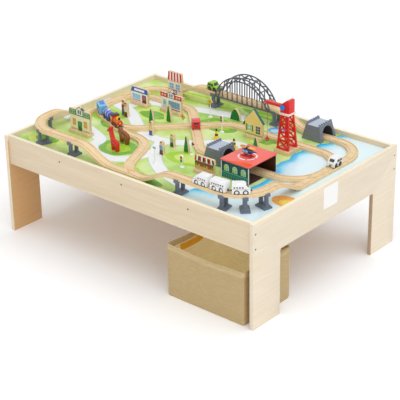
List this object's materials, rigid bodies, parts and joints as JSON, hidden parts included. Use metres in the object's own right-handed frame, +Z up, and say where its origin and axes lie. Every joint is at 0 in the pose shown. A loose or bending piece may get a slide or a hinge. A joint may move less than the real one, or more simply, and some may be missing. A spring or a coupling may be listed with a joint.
{
  "type": "play table with wooden railway",
  "caption": "Low wooden play table with a recessed printed board, a wooden railway with bridge, ramps, tunnels, crane, trains and buildings on it, and a cloth bin under it.",
  "frame": {"origin": "centre of the table's footprint on the floor", "axes": "+X to the right along the long side, +Y to the back, +Z up; the front long side, where the bin stands, is -Y"},
  "size_m": [1.2, 0.845, 0.5863],
  "materials": {
    "pale_wood": "satin lacquer",
    "printed_board": "printed satin",
    "track_wood": "satin",
    "screw": "dark zinc",
    "bin_cloth": "woven",
    "strap_web": "webbing",
    "grey_plastic": "moulded",
    "stone_grey": "painted",
    "red_plastic": "gloss",
    "blue_plastic": "gloss",
    "cord": "twine",
    "teal_wall": "painted",
    "salmon_roof": "painted",
    "navy_paint": "gloss paint",
    "yellow_paint": "gloss paint",
    "house_paint": "printed paint",
    "green_paint": "painted",
    "figure_paint": "painted",
    "animal_paint": "painted",
    "sign_paint": "painted",
    "white_paint": "gloss paint",
    "lime_paint": "gloss paint",
    "red_paint": "gloss paint",
    "orange_paint": "gloss paint",
    "violet_paint": "gloss paint",
    "sky_paint": "gloss paint",
    "wheel_plastic": "moulded"
  },
  "bodies": {
    "table": {"left_end_panel": "pale_wood", "right_end_panel": "pale_wood", "front_apron": "pale_wood", "back_apron": "pale_wood", "play_board": "printed_board", "board_battens": "pale_wood", "frame_screws": "screw", "straight_tracks": "track_wood", "curved_tracks": "track_wood", "switch_tracks": "track_wood", "ramp_tracks": "track_wood", "bridge_piers": "grey_plastic", "arch_bridge": "grey_plastic", "tunnels": "stone_grey", "crane_base": "pale_wood", "crane_tower": "red_plastic", "engine_shed": "teal_wall", "shed_roof": "salmon_roof", "helicopter": "navy_paint", "house_fronts": "house_paint", "trees": "green_paint", "figures": "figure_paint", "animals": "animal_paint", "road_signs": "sign_paint", "traffic_cones": "yellow_paint", "express_nose": "white_paint", "express_coach": "white_paint", "express_tail": "white_paint", "cargo_engine": "orange_paint", "cargo_wagon": "violet_paint", "cargo_cab": "sky_paint"},
    "bin": {"storage_bin": "bin_cloth", "bin_straps": "strap_web"},
    "crane_jib": {"crane_head": "red_plastic"},
    "winch": {"winch_knob": "blue_plastic"},
    "hook": {"crane_hook": "red_plastic", "hoist_string": "cord"},
    "rotor": {"helicopter_rotor": "yellow_paint"},
    "express_nose_front_axle": {"express_nose_front_wheels": "wheel_plastic"},
    "express_nose_rear_axle": {"express_nose_rear_wheels": "wheel_plastic"},
    "express_coach_front_axle": {"express_coach_front_wheels": "wheel_plastic"},
    "express_coach_rear_axle": {"express_coach_rear_wheels": "wheel_plastic"},
    "express_tail_front_axle": {"express_tail_front_wheels": "wheel_plastic"},
    "express_tail_rear_axle": {"express_tail_rear_wheels": "wheel_plastic"},
    "cargo_engine_front_axle": {"cargo_engine_front_wheels": "wheel_plastic"},
    "cargo_engine_rear_axle": {"cargo_engine_rear_wheels": "wheel_plastic"},
    "cargo_wagon_front_axle": {"cargo_wagon_front_wheels": "wheel_plastic"},
    "cargo_wagon_rear_axle": {"cargo_wagon_rear_wheels": "wheel_plastic"},
    "cargo_cab_front_axle": {"cargo_cab_front_wheels": "wheel_plastic"},
    "cargo_cab_rear_axle": {"cargo_cab_rear_wheels": "wheel_plastic"},
    "white_car": {"white_car": "white_paint"},
    "white_car_front_axle": {"white_car_front_wheels": "wheel_plastic"},
    "white_car_rear_axle": {"white_car_rear_wheels": "wheel_plastic"},
    "lime_car": {"lime_car": "lime_paint"},
    "lime_car_front_axle": {"lime_car_front_wheels": "wheel_plastic"},
    "lime_car_rear_axle": {"lime_car_rear_wheels": "wheel_plastic"},
    "red_car": {"red_car": "red_paint"},
    "red_car_front_axle": {"red_car_front_wheels": "wheel_plastic"},
    "red_car_rear_axle": {"red_car_rear_wheels": "wheel_plastic"}
  },
  "joints": [
    {"name": "bin_pull", "type": "slide", "parent": "table", "child": "bin", "axis": [0, -1, 0], "range_m": [0, 0.28]},
    {"name": "crane_swivel", "type": "hinge", "parent": "table", "child": "crane_jib", "pos_m": [0.2952, 0.1565, 0.5363], "axis": [0, 0, 1], "range_deg": [-175, 175]},
    {"name": "winch_turn", "type": "hinge", "parent": "crane_jib", "child": "winch", "pos_m": [0.2882, 0.1565, 0.5573], "axis": [0, -1, 0], "range_deg": [0, 2160]},
    {"name": "hook_lift", "type": "slide", "parent": "crane_jib", "child": "hook", "axis": [0, 0, 1], "range_m": [0, 0.1136], "deforming": ["hoist_string"]},
    {"name": "rotor_spin", "type": "hinge", "parent": "table", "child": "rotor", "pos_m": [0.30854, -0.08927, 0.484], "axis": [0, 0, 1], "continuous": true},
    {"name": "express_nose_front_roll", "type": "hinge", "parent": "table", "child": "express_nose_front_axle", "pos_m": [0.48681, -0.32036, 0.4523], "axis": [-0.6314, 0.7755, 0], "continuous": true},
    {"name": "express_nose_rear_roll", "type": "hinge", "parent": "table", "child": "express_nose_rear_axle", "pos_m": [0.46354, -0.3393, 0.4523], "axis": [-0.6314, 0.7755, 0], "continuous": true},
    {"name": "express_coach_front_roll", "type": "hinge", "parent": "table", "child": "express_coach_front_axle", "pos_m": [0.41993, -0.35584, 0.4523], "axis": [-0.0555, 0.9985, 0], "continuous": true},
    {"name": "express_coach_rear_roll", "type": "hinge", "parent": "table", "child": "express_coach_rear_axle", "pos_m": [0.38998, -0.3575, 0.4523], "axis": [-0.0555, 0.9985, 0], "continuous": true},
    {"name": "express_tail_front_roll", "type": "hinge", "parent": "table", "child": "express_tail_front_axle", "pos_m": [0.343, -0.3575, 0.4523], "axis": [0, 1, 0], "continuous": true},
    {"name": "express_tail_rear_roll", "type": "hinge", "parent": "table", "child": "express_tail_rear_axle", "pos_m": [0.313, -0.3575, 0.4523], "axis": [0, 1, 0], "continuous": true},
    {"name": "cargo_engine_front_roll", "type": "hinge", "parent": "table", "child": "cargo_engine_front_axle", "pos_m": [-0.33473, -0.07771, 0.3983], "axis": [0.3827, 0.9239, 0], "continuous": true},
    {"name": "cargo_engine_rear_roll", "type": "hinge", "parent": "table", "child": "cargo_engine_rear_axle", "pos_m": [-0.36245, -0.06623, 0.3983], "axis": [0.3827, 0.9239, 0], "continuous": true},
    {"name": "cargo_wagon_front_roll", "type": "hinge", "parent": "table", "child": "cargo_wagon_front_axle", "pos_m": [-0.40587, -0.04824, 0.3983], "axis": [0.3827, 0.9239, 0], "continuous": true},
    {"name": "cargo_wagon_rear_roll", "type": "hinge", "parent": "table", "child": "cargo_wagon_rear_axle", "pos_m": [-0.43359, -0.03676, 0.3983], "axis": [0.3827, 0.9239, 0], "continuous": true},
    {"name": "cargo_cab_front_roll", "type": "hinge", "parent": "table", "child": "cargo_cab_front_axle", "pos_m": [-0.47673, -0.01825, 0.3983], "axis": [0.5792, 0.8152, 0], "continuous": true},
    {"name": "cargo_cab_rear_roll", "type": "hinge", "parent": "table", "child": "cargo_cab_rear_axle", "pos_m": [-0.50118, -0.00088, 0.3983], "axis": [0.5792, 0.8152, 0], "continuous": true},
    {"name": "white_car_run", "type": "slide", "parent": "table", "child": "white_car", "axis": [0, 1, 0], "range_m": [-0.15, 0.04]},
    {"name": "white_car_front_roll", "type": "hinge", "parent": "white_car", "child": "white_car_front_axle", "pos_m": [0.52, 0.1545, 0.3983], "axis": [-1, 0, 0], "continuous": true},
    {"name": "white_car_rear_roll", "type": "hinge", "parent": "white_car", "child": "white_car_rear_axle", "pos_m": [0.52, 0.1305, 0.3983], "axis": [-1, 0, 0], "continuous": true},
    {"name": "lime_car_run", "type": "slide", "parent": "table", "child": "lime_car", "axis": [1, 0, 0], "range_m": [0, 0.26]},
    {"name": "lime_car_front_roll", "type": "hinge", "parent": "lime_car", "child": "lime_car_front_axle", "pos_m": [-0.193, 0.3375, 0.4523], "axis": [0, 1, 0], "continuous": true},
    {"name": "lime_car_rear_roll", "type": "hinge", "parent": "lime_car", "child": "lime_car_rear_axle", "pos_m": [-0.217, 0.3375, 0.4523], "axis": [0, 1, 0], "continuous": true},
    {"name": "red_car_run", "type": "slide", "parent": "table", "child": "red_car", "axis": [-0.7071, 0.7071, 0], "range_m": [-0.1, 0.1]},
    {"name": "red_car_front_roll", "type": "hinge", "parent": "red_car", "child": "red_car_front_axle", "pos_m": [-0.10602, 0.10886, 0.3983], "axis": [-0.7071, -0.7071, 0], "continuous": true},
    {"name": "red_car_rear_roll", "type": "hinge", "parent": "red_car", "child": "red_car_rear_axle", "pos_m": [-0.08905, 0.09189, 0.3983], "axis": [-0.7071, -0.7071, 0], "continuous": true}
  ],
  "couplings": [
    {"joint": "hook_lift", "follows": "winch_turn", "m_per_rad": 0.003}
  ]
}
